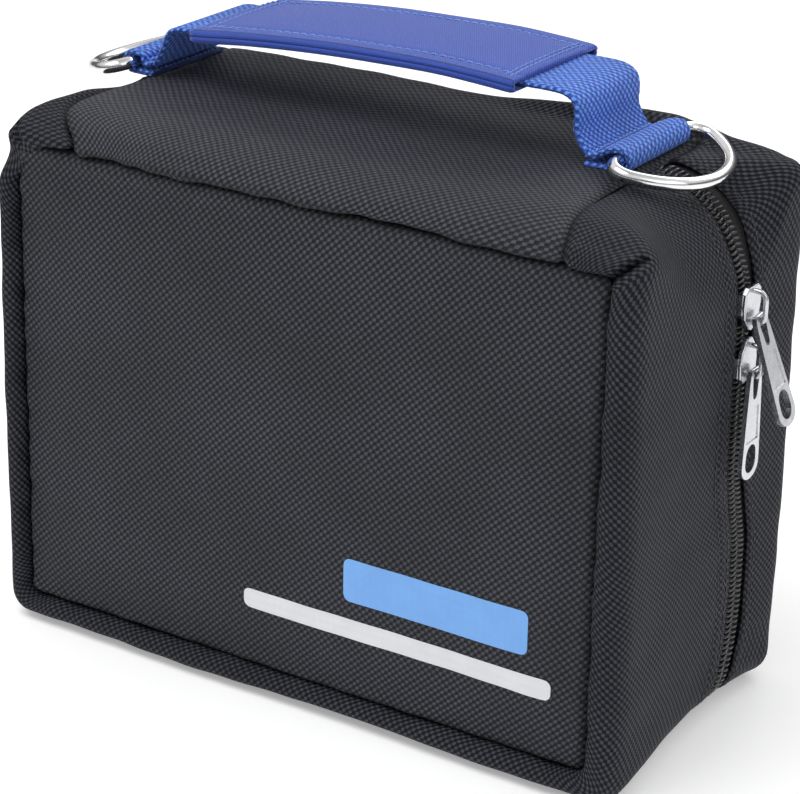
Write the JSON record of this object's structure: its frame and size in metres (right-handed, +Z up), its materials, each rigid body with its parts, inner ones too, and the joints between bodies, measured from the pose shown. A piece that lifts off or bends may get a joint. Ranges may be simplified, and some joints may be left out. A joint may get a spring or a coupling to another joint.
{
  "type": "padded zip carry case",
  "caption": "Padded zip-around nylon carry case with a hinged front cover, webbing handle with a sewn grip, D-rings and double zip sliders.",
  "frame": {"origin": "centre of the base, on the floor", "axes": "+X right, +Y to the back, +Z up, with the front cover facing -Y"},
  "size_m": [0.2502, 0.106, 0.1952],
  "materials": {
    "nylon_black": "matte",
    "foam_grey": "matte",
    "lining_black": "matte",
    "tape_black": "matte",
    "coil_black": "satin",
    "webbing_blue": "satin",
    "grip_blue": "satin",
    "ring_chrome": "polished",
    "slider_nickel": "polished"
  },
  "bodies": {
    "rear_shell": {"rear_panel": "nylon_black", "rear_gusset": "nylon_black", "top_panel_rear": "nylon_black", "rear_foam_panel": "foam_grey", "rear_foam_left": "foam_grey", "rear_foam_right": "foam_grey", "rear_foam_bottom": "foam_grey", "rear_foam_top": "foam_grey", "rear_lining": "lining_black", "rear_seam_binding": "tape_black", "zip_tape_rear": "tape_black", "zip_coil_rear": "coil_black", "ring_loop_right": "webbing_blue", "ring_loop_left": "webbing_blue"},
    "front_cover": {"front_panel": "nylon_black", "front_gusset": "nylon_black", "top_panel_front": "nylon_black", "front_foam_panel": "foam_grey", "front_foam_left": "foam_grey", "front_foam_right": "foam_grey", "front_foam_bottom": "foam_grey", "front_foam_top": "foam_grey", "front_lining": "lining_black", "front_seam_binding": "tape_black", "zip_tape_front": "tape_black", "zip_coil_front": "coil_black"},
    "handle": {"handle_webbing": "webbing_blue", "grip_sleeve": "grip_blue", "grip_padding": "foam_grey"},
    "ring_right": {"d_ring_right": "ring_chrome"},
    "ring_left": {"d_ring_left": "ring_chrome"},
    "zip_slider_upper": {"slider_upper": "slider_nickel"},
    "zip_slider_lower": {"slider_lower": "slider_nickel"},
    "zip_pull_upper": {"pull_upper": "slider_nickel"},
    "zip_pull_lower": {"pull_lower": "slider_nickel"}
  },
  "joints": [
    {"name": "cover_hinge", "type": "hinge", "parent": "rear_shell", "child": "front_cover", "pos_m": [0, -0.008, 0.17], "axis": [-1, 0, 0], "range_deg": [0, 90]},
    {"name": "handle_lean", "type": "hinge", "parent": "rear_shell", "child": "handle", "pos_m": [0, 0.021, 0.174], "axis": [-1, 0, 0], "range_deg": [-20, 20]},
    {"name": "ring_right_swing", "type": "hinge", "parent": "rear_shell", "child": "ring_right", "pos_m": [0.0763, 0.021, 0.1741], "axis": [0, -1, 0], "range_deg": [0, 105]},
    {"name": "ring_left_swing", "type": "hinge", "parent": "rear_shell", "child": "ring_left", "pos_m": [-0.0986, 0.021, 0.1741], "axis": [0, 1, 0], "range_deg": [0, 105]},
    {"name": "slider_upper_run", "type": "slide", "parent": "rear_shell", "child": "zip_slider_upper", "axis": [0, 0, 1], "range_m": [0, 0.0035]},
    {"name": "slider_lower_run", "type": "slide", "parent": "rear_shell", "child": "zip_slider_lower", "axis": [0, 0, -1], "range_m": [0, 0.028]},
    {"name": "pull_upper_swing", "type": "hinge", "parent": "zip_slider_upper", "child": "zip_pull_upper", "pos_m": [0.11595, 0.018, 0.1309], "axis": [0, -1, 0], "range_deg": [0, 110]},
    {"name": "pull_lower_swing", "type": "hinge", "parent": "zip_slider_lower", "child": "zip_pull_lower", "pos_m": [0.11595, 0.018, 0.1142], "axis": [0, -1, 0], "range_deg": [0, 20]}
  ]
}
